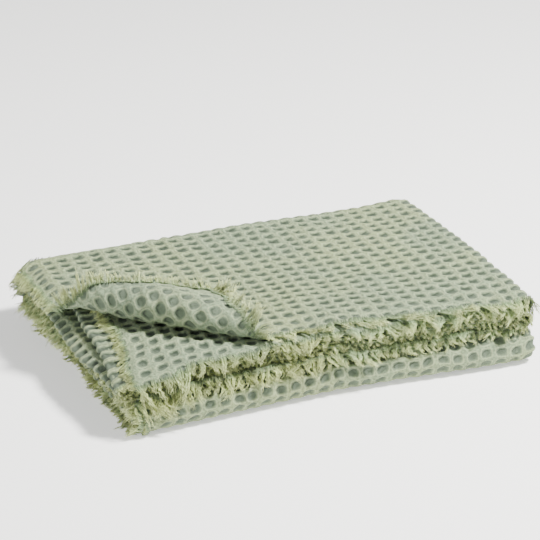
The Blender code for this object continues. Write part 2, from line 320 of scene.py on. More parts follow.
def turn_back_corner(x, y, height, in_corner):
    """Past the crease: an arc of half a turn, then straight on, sinking by a smooth step to the layer."""
    crease = math.hypot(CORNER_ALONG, CORNER_ACROSS)
    inward = (CORNER_ACROSS / crease, CORNER_ALONG / crease)
    corner_depth = CORNER_ALONG * inward[0]
    share = (x - LEFT) * inward[1] / crease + (CORNER_ACROSS - y) * inward[0] / crease
    fullness = np.sin(math.pi * np.clip(share, 0.0, 1.0))
    radius = ROLL_RADIUS + ROLL_SWELL * fullness
    past = corner_depth - CREASE_BOW * fullness - (x * inward[0] + y * inward[1])
    turned = past + radius
    angle = np.clip(turned / radius, 0.0, math.pi)
    beyond = np.maximum(turned - math.pi * radius, 0.0)
    reach = -radius + radius * np.sin(angle) - beyond
    rise = radius * (1 - np.cos(angle)) - (2 * radius - FLAP_REST) * ease(beyond / FLAP_FALL)
    rise += TIP_LIFT * ease((beyond - TIP_START) / TIP_REACH)
    rolled = in_corner & (turned > 0)
    move = np.where(rolled, past - reach, 0.0)
    return x + inward[0] * move, y + inward[1] * move, height + np.where(rolled, rise, 0.0)


# %% [markdown]
# ## Lines that wander
#
# Nothing on a washed and folded throw is quite straight: the layers wave, the rows of the weave wander by
# a millimetre, and the yarns of the fringe lean in groups. Noise that is different at each point would
# tear the cloth, and one long wave would look drawn, so six waves of different lengths and directions are
# added up. Each use has its own seed, so a change of one leaves the others alone.

# %% Waves that wander
WAVES = 6
WAVES_TOGETHER = 3.2  # the most that they usually add up to


def wander(a, b, size, seed):
    """Sine waves in different directions, 0.7 to 1.5 times size long, added up to about 1 either way."""
    draw = np.random.default_rng(seed)
    total = 0.0
    for _ in range(WAVES):
        turn = draw.uniform(0, math.pi)
        length = size * draw.uniform(0.7, 1.5)
        start = draw.uniform(0, 6.3)
        total = total + np.sin((a * math.cos(turn) + b * math.sin(turn)) * 2 * math.pi / length + start)
    return total / WAVES_TOGETHER


# %% [markdown]
# ## An uneven pack
#
# Nobody folds a throw exactly. The layers' edges are out of line with each other, the ends bow, and the
# pack is lower where it was pressed. Two tables hold how far each group of edges is out of line, and a
# third the places where the pack is lower. A shift changes without a jump over the pack's height, so the
# layers keep together. Last, the heights get a low ripple and soft wrinkles, which are strongest near the
# left end and the front, where the layers are loose. A height is only scaled, so the layers keep their
# order.

# %% How the pack's ends are out of line
Edges = namedtuple("Edges", "what first last shift_a shift_b shift_c")
LEFT_EDGES = (  # along +X, at the front, in the middle and towards the back
    Edges("raw edges on the floor", 0, 1, 0.001, 0.003, 0.004),
    Edges("two smooth folds", 2, 5, 0.004, 0.003, 0.004),
    Edges("raw edges in the middle", 6, 9, 0.002, 0.001, -0.013),
    Edges("smooth fold", 10, 11, -0.008, -0.017, -0.012),
    Edges("smooth fold under the flap", 12, 13, -0.010, -0.002, 0.010),
    Edges("inner raw edge", 14, 14, -0.004, 0.014, 0.022),
    Edges("top raw edge", 15, 15, -0.002, -0.008, -0.018),
)
FRONT_EDGES = (  # along +Y, at the left, in the middle and at the right
    Edges("smooth bulge", 0, 7, 0.001, 0.011, 0.000),
    Edges("raw edges over it", 8, 9, -0.005, -0.001, -0.003),
    Edges("raw edges drawn in", 10, 13, 0.005, 0.005, -0.002),
    Edges("inner raw edge", 14, 14, -0.008, 0.003, -0.005),
    Edges("top raw edge", 15, 15, -0.004, 0.017, -0.003),
)
# The places of the last two shifts along each end, and the one by which the shift is gone
Places = namedtuple("Places", "b c gone")
LEFT_PLACES = Places(0.10, 0.20, 0.60)
FRONT_PLACES = Places(0.22, 0.41, 0.46)
LEFT_REACH, FRONT_REACH = (0.20, 0.0), (0.16, 0.0)  # from where nothing has moved to where all has
RIGHT_BULGE, RIGHT_REACH = 0.003, (0.25, 0.42)  # the middle of the right end, over its corners
for row in (*LEFT_EDGES, *FRONT_EDGES):
    print(f"layers {row.first} to {row.last}, {row.what}:", row.shift_a, row.shift_b, row.shift_c)

# %% Where the pack is lower, and its wrinkles
Sink = namedtuple("Sink", "what share x_span y_span")
SINKS = (
    Sink("left end pressed thinner", 0.02, (0.06, 0.0), None),
    Sink("front pressed thinner", 0.04, None, (0.05, 0.0)),
    Sink("back pressed thinner", 0.02, None, (0.25, 0.30)),
    Sink("dip at the back", 0.04, (0.24, 0.33), (0.16, 0.28)),
    Sink("end of that dip before the corner", -0.04, (0.36, 0.42), (0.16, 0.28)),
    Sink("corner from which the top layer is folded away", 0.14, (0.07, 0.0), (0.08, 0.0)),
    Sink("what hangs out past the left end", 0.11, (0.0, -0.020), None),
    Sink("what hangs out past the front", 0.11, None, (0.0, -0.020)),
)
RIPPLE = 0.02  # a share of the height, as the wrinkles are
RIPPLE_X, RIPPLE_Y = (0.071, 0.6), (0.085, 0.4)  # the length of a wave over two pi, and where it starts
LOOSE = (0.05, 0.0)  # how far in from the left end and the front the layers are loose
WRINKLES, LOOSE_WRINKLES, WRINKLE_SIZE = 0.009, 0.021, 0.060
FINE_WRINKLES, FINE_SIZE = 0.005, 0.020
print("the pack is lower at", len(SINKS), "places")


# %% Settle the neat pack
def edge_shift(edges, places, z, place):
    """The shift of the pack's edges at a height and a place along that end, smooth between the shifts."""
    levels = [LOWEST + PITCH * layer for row in edges for layer in (row.first, row.last)]
    shifts = zip(*((row.shift_a, row.shift_b, row.shift_c) for row in edges for _ in range(2)))
    a, b, c = (np.interp(z, levels, column) for column in shifts)
    shift = a + (b - a) * fade(place, (0.0, places.b)) + (c - b) * fade(place, (places.b, places.c))
    return shift * fade(place, (places.gone, places.c))


def settle(points):
    """Shift the ends by the two tables, then scale each height by the sinks, the ripple and the wrinkles."""
    x, y, z = np.moveaxis(points, -1, 0)
    moved_x = x + fade(x, LEFT_REACH) * edge_shift(LEFT_EDGES, LEFT_PLACES, z, y)
    moved_y = y + fade(y, FRONT_REACH) * edge_shift(FRONT_EDGES, FRONT_PLACES, z, x)
    moved_x = moved_x + RIGHT_BULGE * fade(x, RIGHT_REACH) * np.sin(math.pi * np.clip(y / BACK, 0.0, 1.0))
    sunk = sum(row.share * fade(moved_x, row.x_span) * fade(moved_y, row.y_span) for row in SINKS)
    wave_x = np.sin(moved_x / RIPPLE_X[0] + RIPPLE_X[1])
    wave_y = np.sin(moved_y / RIPPLE_Y[0] + RIPPLE_Y[1])
    loose = np.maximum(fade(x, LOOSE), fade(y, LOOSE))
    ripple = RIPPLE * wave_x * wave_y
    ripple = ripple + (WRINKLES + LOOSE_WRINKLES * loose) * wander(moved_x, moved_y, WRINKLE_SIZE, 5)
    ripple = ripple + FINE_WRINKLES * loose * wander(moved_x, moved_y, FINE_SIZE, 6)
    above = np.maximum(z - LOWEST, 0.0)
    settled_z = np.minimum(z, LOWEST) + above * (1 + ripple - sunk)
    return np.stack((moved_x - PACK_MIDDLE[0], moved_y - PACK_MIDDLE[1], settled_z), axis=-1)


# %% [markdown]
# ## The cloth, from the flat to the pack
#
# The three steps follow each other: the flat cloth is folded, its corner is turned back, and the pack
# settles. Before them, the cloth slides a little in its own surface. Washing shrinks the yarns unevenly,
# so the rows of the weave and the raw edges wander, most of all near the edges, where nothing holds the
# yarns.

# %% The middle of the cloth
SLACK, EDGE_SLACK_REACH = 0.0011, 0.030
SLIDE_ALONG_SIZE, SLIDE_ACROSS_SIZE = 0.045, 0.040


def neat_cloth(along, across):
    """The middle of the cloth in the neat pack: each panel is carried at its own level along the runs."""
    along, across = np.broadcast_arrays(np.asarray(along, float), np.asarray(across, float))
    x, offset, _, _ = ALONG.at(along)
    y, level, out_y, out_z = ACROSS.at(across)
    y = y + out_y * offset
    z = (PACK_HEIGHT - PITCH) / 2 + LOWEST + level + out_z * offset
    in_corner = (along < RIGHT - LEFT) & (across < BACK - FRONT)
    return np.stack(turn_back_corner(x, y, z, in_corner), axis=-1)


def slack_cloth(along, across):
    """The neat cloth, slid in its own surface by the wandering waves, twice as far at a raw edge."""
    slack = SLACK * (1 + ease(1 - to_raw_edge(along, across) / EDGE_SLACK_REACH))
    slide_along = slack * wander(along, across, SLIDE_ALONG_SIZE, 1)
    slide_across = slack * wander(along, across, SLIDE_ACROSS_SIZE, 2)
    return neat_cloth(along + slide_along, across + slide_across)


def cloth(along, across):
    """A point in the middle of the finished cloth for two lengths over the flat one."""
    return settle(slack_cloth(along, across))


# %% [markdown]
# ## The waffle weave
#
# A waffle weave has square cells. Floating yarns shrink in the wash and pull the cloth up into ridges
# round a deep pit, and the ridges of one face stand where the other face has its pits. Each face is
# therefore its own surface: it lies half the cloth's thickness out from the middle, less the depth of the
# pit at that point. The two faces use the same formula, half a cell apart both ways, so the cloth keeps a
# real thickness everywhere. Each pit has its own place, width and depth. Pits are shallower near a raw
# edge, where the yarns have let go, and round a small fold they are pulled into grooves. A bump in the
# material alone would leave the pack's outline straight, and the real one is scalloped.

# %% Ridges and pits
CELL_ALONG, CELL_ACROSS = 0.0158, 0.01453
FIRST_RIDGE = 0.15  # of a cell, from the raw edge
MORE_ROWS = 2  # round each of the two big turns
PIT_DEPTH, PIT_DRAWS = 0.0036, 128
PIT_REACH = (0.355, 0.345)  # of a cell, from a pit's middle to the middle of its wall
PIT_WIDTHS = 0.14  # how much that differs
PIT_WANDER = 0.10  # a pit's middle lies in the middle tenth of its cell
PIT_SHARE, PIT_SHARES, GROOVE_SHALLOWER = 0.96, 0.16, 0.36  # of the full depth
GROOVE_LONGER, GROOVE_REACH = 0.75, 0.006  # the reach is beyond the fold
WALL_START, WALL_WIDTH = 0.3, 1.4
# The side of each pit that gets the painted shadow lies this way.
SHADOW_SIDE_ALONG, SHADOW_SIDE_ACROSS = -1.3, 2.4  # which way the darker side of a pit lies
CUT_PIT, CUT_PIT_FADE = 0.05, 0.12  # of a cell: how far past a raw edge pits are gone, and how fast
NO_PIT = 1.3  # how far a point counts from its pit's middle where there is no pit
CROWN = 0.0010  # how far the ridges sag between their crossings
LUMPS, LUMP_SIZE = 0.00012, 0.021
THINNEST = 0.0004
EDGE_HALF, EDGE_THIN = 0.0008, 0.0045  # half the thickness at a raw edge, and where it ends
EDGE_CALM, CALM_REACH = 0.42, 0.044  # pits near a raw edge are so much shallower
CALM_NARROWER = 0.16  # and each point there counts as so much further from its pit's middle
OVER_FLOOR = 0.0001  # the least height of any point of the cloth

pit_draws = np.random.default_rng(11).uniform(-0.5, 0.5, size=(5, PIT_DRAWS, PIT_DRAWS))


def count_along(along):
    """The length along the cloth, counted in cells. Whole numbers are ridges of the upper face."""
    return along / CELL_ALONG - FIRST_RIDGE


def count_across(across):
    """The same across it. The outer panel goes wider round the two big turns, so they have more rows."""
    more = 0.0
    for turn in ACROSS.turns[:2]:
        more = more + MORE_ROWS * np.clip((across - turn.start) / (turn.end - turn.start), 0.0, 1.0)
    return across / CELL_ACROSS + more - FIRST_RIDGE


ENDS_ALONG = count_along(0.0), count_along(ALONG.length)
ENDS_ACROSS = count_across(0.0), count_across(ACROSS.length)
print("cells", [round(float(n), 2) for n in (*ENDS_ALONG, *ENDS_ACROSS)])


# %% One pit
def round_fold(along):
    """1 round each small turn of the first fold, and 0 from a little way off it."""
    off = [np.abs(along - (turn.start + turn.end) / 2) - (turn.end - turn.start) / 2 for turn in ALONG.turns]
    return np.max([ease(1 - distance / GROOVE_REACH) for distance in off], axis=0)


def pit_share(u, v, rounded):
    """How deep a point is in its pit, 0 to 1, how far it is from the pit's middle, 1 at half its wall, and
    how far towards the pit's side with the painted shadow, below 0 on the other one.

    The depth is a smooth step over the rounded square |u|^3 + |v|^3 about the pit's middle. Each pit has its
    own depth, place and width both ways, drawn once by its place in the weave. Round a fold the pits are
    pulled into grooves.
    """
    row, column = np.floor(u).astype(int), np.floor(v).astype(int)
    draws = pit_draws[:, row % PIT_DRAWS, column % PIT_DRAWS] * (1 - rounded)
    u_in, v_in = u - row - 0.5, v - column - 0.5
    reach_u, reach_v = (reach * (1.0 + PIT_WIDTHS * draw) for reach, draw in zip(PIT_REACH, draws[1:3]))
    side = np.abs(u_in - PIT_WANDER * draws[3]) / reach_u * (1 - GROOVE_LONGER * rounded)
    end = np.abs(v_in - PIT_WANDER * draws[4]) / reach_v
    away = side ** 3 + end ** 3
    share = PIT_SHARE + PIT_SHARES * draws[0] - GROOVE_SHALLOWER * rounded
    depth = share * (1.0 - ease((away - WALL_START) / WALL_WIDTH))
    return depth, away ** (1 / 3), SHADOW_SIDE_ACROSS * v_in + SHADOW_SIDE_ALONG * u_in


def whole_pit(u, v, half):
    """1 in the cells whose pit has its middle inside the cloth, and 0 where it lies past a raw edge."""
    to_edge = np.inf
    for counted, (first, last) in ((u, ENDS_ALONG), (v, ENDS_ACROSS)):
        centre = np.floor(counted + half) + 0.5 - half
        to_edge = np.minimum(to_edge, np.minimum(centre - first, last - centre))
    return ease((to_edge + CUT_PIT) / CUT_PIT_FADE)


# %% One face of the cloth
def inside_edge(along, across):
    """0 at a raw edge of the cloth and 1 well inside it."""
    return ease(to_raw_edge(along, across) / EDGE_THIN)


def face_height(along, across, is_upper):
    """The distance of a face from the cloth's middle, and where each point lies in its pit.

    Each face is the cloth's half thickness, less its crown and its pit. The crown is the sag of the ridges
    between their crossings, 1 - cos^2(pi u) cos^2(pi v). Where the pits of both faces meet, at their
    corners, that would leave no cloth, so both keep half the least thickness from the middle between them.
    """
    u, v = count_along(along), count_across(across)
    inside, rounded = inside_edge(along, across), round_fold(along)
    thick = EDGE_HALF + (HALF_THICK - EDGE_HALF) * inside
    calm = ease(1 - to_raw_edge(along, across) / CALM_REACH)
    full_depth = PIT_DEPTH * (1 - EDGE_CALM * calm)
    heights, aways, asides = [], [], []
    for half in (0.0, 0.5):
        depth, away, aside = pit_share(u + half, v + half, rounded)
        whole = whole_pit(u, v, half)
        depth = depth * whole
        crown = 1 - (np.cos(math.pi * (u + half)) * np.cos(math.pi * (v + half))) ** 2
        heights.append(thick - (CROWN * crown * (1 - depth) + full_depth * depth) * inside)
        aways.append(NO_PIT + (away + CALM_NARROWER * calm - NO_PIT) * ease(whole / 0.5))
        asides.append(aside)
    own, other = heights if is_upper else heights[::-1]
    face = 0 if is_upper else 1
    return np.maximum(own, (own - other + THINNEST) / 2), aways[face], asides[face]


def cloth_face(along, across, is_upper, middle, square, squeezed):
    """A face: the cloth's middle, moved out along the direction square to it, but never into the floor."""
    height, away, aside = face_height(along, across, is_upper)
    lump = LUMPS * wander(along, across, LUMP_SIZE, 3) * (0.2 + 0.8 * inside_edge(along, across))
    face = middle + square * (lump + height * squeezed * (1 if is_upper else -1))[..., None]
    face[..., 2] = np.maximum(face[..., 2], OVER_FLOOR)
    return face, away, aside


# %% Which way the cloth faces and bends
SQUARE_STEP, BEND_STEP = 0.0004, 0.006
SQUEEZE_REACH = 0.003  # over the lowest layer's middle, from where the squeeze counts in full


def middle_and_bend(along, across):
    """The cloth's middle, the direction square to it, how strongly it bends away from its upper face in 1/m,
    and how much the settled pack has squeezed it. Direction and bend come from small steps both ways."""
    neat = slack_cloth(along, across)
    middle = settle(neat)
    step = SQUARE_STEP
    one_way = cloth(along + step, across) - cloth(along - step, across)
    other_way = cloth(along, across + step) - cloth(along, across - step)
    square = np.cross(one_way, other_way)
    square /= np.maximum(np.linalg.norm(square, axis=-1, keepdims=True), 1e-12)
    step = BEND_STEP
    around = cloth(along + step, across) + cloth(along - step, across) + cloth(along, across + step)
    around = around + cloth(along, across - step) - 4 * middle
    above = np.maximum(neat[..., 2] - LOWEST, 1e-5)
    squeezed = 1 + ((middle[..., 2] - LOWEST) / above - 1) * ease(above / SQUEEZE_REACH)
    return middle, square, -np.sum(around * square, axis=-1) / step ** 2, squeezed


# %% [markdown]
# ## The lines of the mesh
#
# The mesh has six lines for each cell of the weave: on the ridge, on its two shoulders, at the two sides
# of the pit's floor and on the pit's middle. They fall where the surface bends, so few faces are enough.
# Where both faces of the cloth can be seen, at the left end and in the top layer, there are eight,
# because the other face has its shoulders in between. Most of the cloth is hidden inside the pack. There
# the fine mesh is left out, and a few points of the same formula fill the gap, joined by a Delaunay
# triangulation, which avoids thin triangles as far as the points allow.

# %% Where the lines are
LINES_OF_A_CELL = (0.0, 0.11, 0.22, 0.50, 0.78, 0.89)
LINES_FOR_BOTH_FACES = (0.0, 0.11, 0.22, 0.36, 0.50, 0.64, 0.78, 0.89)
BOTH_SEEN_ALONG = (Span(0.0, 0.152), Span(ALONG.length - 0.160, ALONG.length))
BOTH_SEEN_ACROSS = (Span(0.0, 0.176),)
SMALL_TURN = 0.025  # a shorter turn has its own, closer lines
SMALL_TURN_STEPS = 9
TURN_GAP, EDGE_GAP = 0.0007, 0.0012  # no line of a cell lies closer to a small turn or a raw edge


def mesh_lines(fold, count, both_faces):
    """All the lines along one length of the cloth: those of the cells, closer where both faces show, and
    equal steps round each small turn."""
    fine = np.linspace(0.0, fold.length, 40001)
    whole = np.arange(-1, int(count(fold.length)) + 2)[:, None]
    lines = np.interp((whole + np.array(LINES_OF_A_CELL)).ravel(), count(fine), fine)
    closer = np.interp((whole + np.array(LINES_FOR_BOTH_FACES)).ravel(), count(fine), fine)
    shows_both = [(closer > span.start) & (closer < span.end) for span in both_faces]
    lines = np.union1d(lines.round(6), closer[np.any(shows_both, axis=0)].round(6))
    for turn in fold.turns:
        if turn.end - turn.start < SMALL_TURN:
            lines = lines[(lines < turn.start - TURN_GAP) | (lines > turn.end + TURN_GAP)]
            lines = np.concatenate((lines, np.linspace(turn.start, turn.end, SMALL_TURN_STEPS)))
    lines = np.sort(lines[(lines > EDGE_GAP) & (lines < fold.length - EDGE_GAP)])
    return np.concatenate(([0.0], lines, [fold.length]))


def in_turns(fold, lines):
    """True for the lines that lie in a turn."""
    return np.any([(lines > turn.start - 1e-6) & (lines < turn.end + 1e-6) for turn in fold.turns], axis=0)


along_lines = mesh_lines(ALONG, count_along, BOTH_SEEN_ALONG)
across_lines = mesh_lines(ACROSS, count_across, BOTH_SEEN_ACROSS)
print("lines", len(along_lines), "by", len(across_lines))

# %% What is hidden inside the pack
CELL = CELL_ALONG
outer_panel, second_panel, third_panel, fourth_panel = ALONG.stretches
top_run, floor_run, next_run, _ = ACROSS.stretches
# A line is kept in every so many cells, or two lines in each at 0.5. None is the cloth's own edge.
Hidden = namedtuple("Hidden", "what along across every")
UPPER_HIDDEN = (
    Hidden("under the pack", (outer_panel.start + 1.2 * CELL, outer_panel.end - CELL),
           (floor_run.start + CELL, floor_run.end - CELL), 0.5),
    Hidden("outer panel inside", (outer_panel.start + 1.2 * CELL, outer_panel.end - 0.7 * CELL),
           (next_run.start + CELL, None), 2),
    Hidden("second panel", (second_panel.start + 0.7 * CELL, second_panel.end - 1.5 * CELL),
           (None, None), 2),
    Hidden("third and fourth panel", (third_panel.start + 1.5 * CELL, None), (None, None), 2),
)
LOWER_HIDDEN = (
    Hidden("inside the folds", (0.160, fourth_panel.end - 0.165), (None, None), 2),
    Hidden("behind the flap", (None, 0.160), (0.180, None), 2),
    Hidden("behind the inner corner", (fourth_panel.end - 0.165, None), (0.200, None), 2),
)
SEEN_END = fourth_panel.end - 0.20  # past this, and in the outer panel, the mesh is seen next to its fill


def at_phase(counts, phase, every=1):
    """True for the lines at one phase of a cell, in every so many cells."""
    whole = np.round(counts - phase)
    return (np.abs(counts - phase - whole) < 2e-3) & (whole % every == 0)


def box_lines(lines, allowed, span):
    """The numbers of the allowed lines nearest to both ends of a span, or of the cloth's own edges."""
    found = np.flatnonzero(allowed)
    ends = [0, len(lines) - 1]
    for side, length in enumerate(span):
        if length is not None:
            ends[side] = found[np.argmin(np.abs(lines[found] - length))]
    return ends


# %% Fill what is hidden
def fill_hidden(hidden, phase):
    """The index box of a hidden stretch of the mesh, and triangles that fill it with few points."""
    along_counts, across_counts = count_along(along_lines), count_across(across_lines)
    ridge_along, ridge_across = at_phase(along_counts, phase), at_phase(across_counts, phase)
    i0, i1 = box_lines(along_lines, ridge_along, hidden.along)
    j0, j1 = box_lines(across_lines, ridge_across, hidden.across)
    if hidden.every < 1:
        kept_along = ridge_along | at_phase(along_counts, 0.5)
        kept_across = ridge_across | at_phase(across_counts, 0.5)
    else:
        kept_along = at_phase(along_counts, phase, hidden.every) | in_turns(ALONG, along_lines)
        bends = in_turns(ACROSS, across_lines) & (ridge_across | at_phase(across_counts, 0.5 - phase))
        kept_across = at_phase(across_counts, phase, hidden.every) | bends
    i, j = np.meshgrid(np.arange(i0, i1 + 1), np.arange(j0, j1 + 1), indexing="ij")
    border = (i == i0) | (i == i1) | (j == j0) | (j == j1)
    seen_along = (along_lines < outer_panel.end) | (along_lines > SEEN_END)
    next_to_seen = seen_along[i] & (across_lines < top_run.end)[j]
    chosen = border | (kept_along[i] & kept_across[j]) | (next_to_seen & ridge_along[i] & ridge_across[j])
    i, j = i[chosen], j[chosen]
    flat = np.stack((along_lines[i], across_lines[j]), axis=1)
    _, _, triangles, origins, _, _ = delaunay_2d_cdt([Vector(p) for p in flat.tolist()], [], [], 0, 1e-7)
    source = np.array([group[0] for group in origins])
    index = (i * len(across_lines) + j)[source[np.array(triangles)]]
    return (i0, i1, j0, j1), index


def face_of_mesh(hidden_parts, phase):
    """The quads that stay and the triangles that fill the hidden boxes, as indices into the full grid."""
    rows, columns = len(along_lines), len(across_lines)
    stays = np.ones((rows - 1, columns - 1), bool)
    fills = []
    for hidden in hidden_parts:
        (i0, i1, j0, j1), triangles = fill_hidden(hidden, phase)
        stays[i0:i1, j0:j1] = False
        fills.append(triangles)
        print(hidden.what, len(triangles), "triangles")
    i, j = np.nonzero(stays)
    corner = i * columns + j
    quads = np.stack((corner, corner + columns, corner + columns + 1, corner + 1), axis=1)
    return quads, np.concatenate(fills)


def rim_of_mesh(offset):
    """Quads that close the raw edge between the same border points of the two faces."""
    rows, columns = len(along_lines), len(across_lines)
    grid = np.arange(rows * columns).reshape(rows, columns)
    loop = np.concatenate((grid[0, :-1], grid[:-1, -1], grid[-1, :0:-1], grid[:0:-1, 0]))
    after = np.roll(loop, -1)
    return np.stack((loop, after, after + offset, loop + offset), axis=1)


# %% Both faces and the edge between them
# Where the cloth is bent open, the material paints the pit floors lighter as painted light, with a painted
# shadow crescent; elsewhere the pits get deep painted shade.
BEND_START, BEND_RANGE = 12, 26  # 1/m: a cloth bent outwards as much opens its pits to the light
FOLD_OPEN = 0.62  # how open the grooves round a small fold are

along_grid, across_grid = np.meshgrid(along_lines, across_lines, indexing="ij")
middle, square, bend, squeezed = middle_and_bend(along_grid, across_grid)
at_fold = round_fold(along_grid)
per_face = along_grid.size
face_points, face_values = [], {"from_pit": [], "aside": [], "underside": [], "opened": []}
for is_upper in (True, False):
    points, away, aside = cloth_face(along_grid, across_grid, is_upper, middle, square, squeezed)
    outwards = bend if is_upper else -bend
    opened = ease((outwards - BEND_START) / BEND_RANGE) * (1 - at_fold) + FOLD_OPEN * at_fold
    face_points.append(points.reshape(-1, 3))
    underside = np.full(away.shape, 0.0 if is_upper else 1.0)
    for name, value in zip(face_values, (away, aside, underside, opened)):
        face_values[name].append(value.ravel())
upper_quads, upper_fill = face_of_mesh(UPPER_HIDDEN, 0.0)
lower_quads, lower_fill = face_of_mesh(LOWER_HIDDEN, 0.5)
quads = np.concatenate((upper_quads, lower_quads[:, ::-1] + per_face, rim_of_mesh(per_face)))
triangles = np.concatenate((upper_fill, lower_fill[:, ::-1] + per_face))
print("cloth has", 2 * len(quads) + len(triangles), "triangles")


# %% The mesh of the cloth
def build_mesh(name, points, quads, triangles, uv, values):
    """A smooth mesh of the points that its faces use. uv and each of the named values are given by point."""
    used, place = np.unique(np.concatenate((quads.ravel(), triangles.ravel())), return_inverse=True)
    corners = place.astype(np.int32)
    sizes = np.concatenate((np.full(len(quads), 4), np.full(len(triangles), 3)))
    mesh = bpy.data.meshes.new(name)
    mesh.vertices.add(len(used))
    mesh.vertices.foreach_set("co", points[used].astype(np.float32).ravel())
    mesh.loops.add(len(corners))
    mesh.loops.foreach_set("vertex_index", corners)
    mesh.polygons.add(len(sizes))
    mesh.polygons.foreach_set("loop_start", np.concatenate(([0], np.cumsum(sizes)[:-1])).astype(np.int32))
    mesh.update(calc_edges=True)
    layer = mesh.uv_layers.new(name="yarn_map")
    layer.data.foreach_set("uv", uv[used][corners].astype(np.float32).ravel())
    for label, value in values.items():
        attribute = mesh.attributes.new(label, "FLOAT", "POINT")
        attribute.data.foreach_set("value", value[used].astype(np.float32))
    mesh.shade_smooth()
    mesh.validate()
    return mesh


cell_counts = np.stack((count_along(along_grid.ravel()), count_across(across_grid.ravel())), axis=1)
cloth_mesh = build_mesh(
    "waffle_cloth_woven",
    np.concatenate(face_points),
    quads,
    triangles,
    np.concatenate((cell_counts, cell_counts + 0.5)),
    {name: np.concatenate(both) for name, both in face_values.items()},
)
print("cloth mesh", len(cloth_mesh.vertices), "points", len(cloth_mesh.polygons), "faces")

# %% [markdown]
# ## The frayed edges
#
# Where the cross yarns were pulled out, the cloth's own yarns hang loose. Each is a thin twisted thread
# that leaves the edge, bends down under its weight and leans towards its neighbours in a small tuft. Real
# hair or curves would need a thickness from the renderer and would be lost in the exported mesh, so each
# yarn is a small three-sided tube of a few rings. Thousands are needed, so they are worked out together:
# one array holds the middle line of every yarn. At the sides of the cloth the yarns are long where they
# hang free, and short where they lie between layers.

# %% What the yarns of an edge are like
Fray = namedtuple("Fray", "name node per_mm length rooted droop tuft lean kink seed by_stretch")
RINGS = 8
STAGES = np.linspace(0.0, 1.0, RINGS)  # along a yarn, from its root inside the cloth to its tip
YARN_RADIUS = 0.00042
ROOTED = 0.0008  # the least length that starts inside the cloth
OUT_OF_PLACE, TUFTS_WANDER = 0.8, 0.55
# How much the yarns differ: the least, and what a draw from 0 to 1 adds to it
OWN_LENGTH, TUFT_LENGTH, EVEN_LENGTH = (0.60, 0.50), (0.65, 0.70), 0.20
LONG_FROM, LONGER = 0.93, 1.3  # one draw in fourteen gives a long yarn
TUFT_DROOP, TUFT_PULL = (0.2, 1.4), (0.55, 0.45)
FLAT_LONGER, FLAT_RISE, FLAT_START, FLAT_LEAN = 0.25, 1.2, 0.4, 0.6  # for the yarns that lie on cloth
OWN_END, OWN_START, OWN_LEAN = 0.5, 0.35, 0.34
FIRST_ANGLE = 0.2  # of the last one
LEAN_SHARES, LEAN_MIDDLE, LEAN_DRIFT = (0.7, 0.3), 0.38, 0.35
CURL = 0.45
KINK_LENGTH, KINK_PHASE, KINK_UPWARDS = 0.0056, 0.40, 1.3
TUFT_RISE, RISE_MIDDLE = 2.0, 0.3
ROOT_OVER_FACE, ROOT_REACH = 0.0004, 0.005  # a root's height over its face, and how far out that is gone
TUFT_WAVES, SIZE_WAVES, LEAN_WAVES = 0.03, 0.06, 0.05  # the lengths of the waves by which each wanders
END_MARGIN = 0.0005  # from the corner of the cloth to its first yarn
TONE_SHARES = (0.45, 0.55)  # of the yarn's own draw and of its tuft's
print("a yarn is", round(2000 * YARN_RADIUS, 2), "mm thick")


def spread(draw, least_and_more):
    """The least, and a share of the more on top."""
    least, more = least_and_more
    return least + more * draw


# %% Where a yarn may not go
BULGE_LINE = (FRONT + 0.002, (PACK_HEIGHT - PITCH) / 2 + LOWEST - RUN_SPACING)
BULGE_SIZE = 0.5 * RUN_SPACING + 1.5 * PITCH + HALF_THICK
CLEARANCE = 0.0006
FLOOR_CLEARANCE, BULGE_FLOOR_CLEARANCE = 0.0008, 0.0007
BULGE_POINTS, BULGE_INSET = 60, 0.003


def stay_outside(line):
    """Keep yarns over the floor, and in front of the smooth bulge: pushed straight out from the line in its
    middle."""
    line[..., 2] = np.maximum(line[..., 2], FLOOR_CLEARANCE)
    x = np.linspace(LEFT, RIGHT, BULGE_POINTS)
    axis = settle(np.stack((x, np.full_like(x, BULGE_LINE[0]), np.full_like(x, BULGE_LINE[1])), axis=-1))
    y, z = (line[..., k] - np.interp(line[..., 0], axis[:, 0], axis[:, k]) for k in (1, 2))
    away = np.maximum(np.hypot(y, z), 1e-9)
    over_cloth = (y < 0) & (line[..., 0] > axis[0, 0] + BULGE_INSET) & (away < BULGE_SIZE + CLEARANCE)
    push = np.where(over_cloth, (BULGE_SIZE + CLEARANCE) / away - 1, 0.0)
    line[..., 1] += y * push
    line[..., 2] = np.maximum(line[..., 2] + z * push, BULGE_FLOOR_CLEARANCE)
    return line


# %% Where the yarns start, and what is drawn for each
Own = namedtuple("Own", "size end start lean root wave side")
Tuft = namedtuple("Tuft", "size droop pull lean")
OUT_STEP, SIDE_STEP = (0.003, -0.002), 0.001


def edge_points(place):
    """Root, outward and edge directions for each yarn, by small steps over the cloth."""
    root = place(0.0, 0.0)
    outward = place(OUT_STEP[0], 0.0) - place(OUT_STEP[1], 0.0)
    outward /= np.linalg.norm(outward, axis=-1, keepdims=True)
    sideways = place(0.0, SIDE_STEP) - place(0.0, -SIDE_STEP)
    sideways /= np.linalg.norm(sideways, axis=-1, keepdims=True)
    return root, outward, sideways


def draw_yarns(fray, fold):
    """Marks along the edge, what is drawn for each yarn and its tuft, and the middle of that tuft."""
    draw = np.random.default_rng(fray.seed)
    count = int(fold.length * 1000 * fray.per_mm)
    marks = (np.arange(count) + draw.uniform(-OUT_OF_PLACE, OUT_OF_PLACE, count)) * fold.length / count
    marks = np.clip(marks, END_MARGIN, fold.length - END_MARGIN)
    tuft = np.floor(marks / fray.tuft + TUFTS_WANDER * wander(marks, 0.0, TUFT_WAVES, fray.seed)).astype(int)
    tuft = tuft - tuft.min()
    by_tuft = Tuft(*draw.uniform(size=(4, tuft.max() + 1))[:, tuft])
    tuft_middle = (np.bincount(tuft, marks) / np.maximum(np.bincount(tuft), 1))[tuft]
    return marks, Own(*draw.uniform(size=(7, count))), by_tuft, tuft_middle


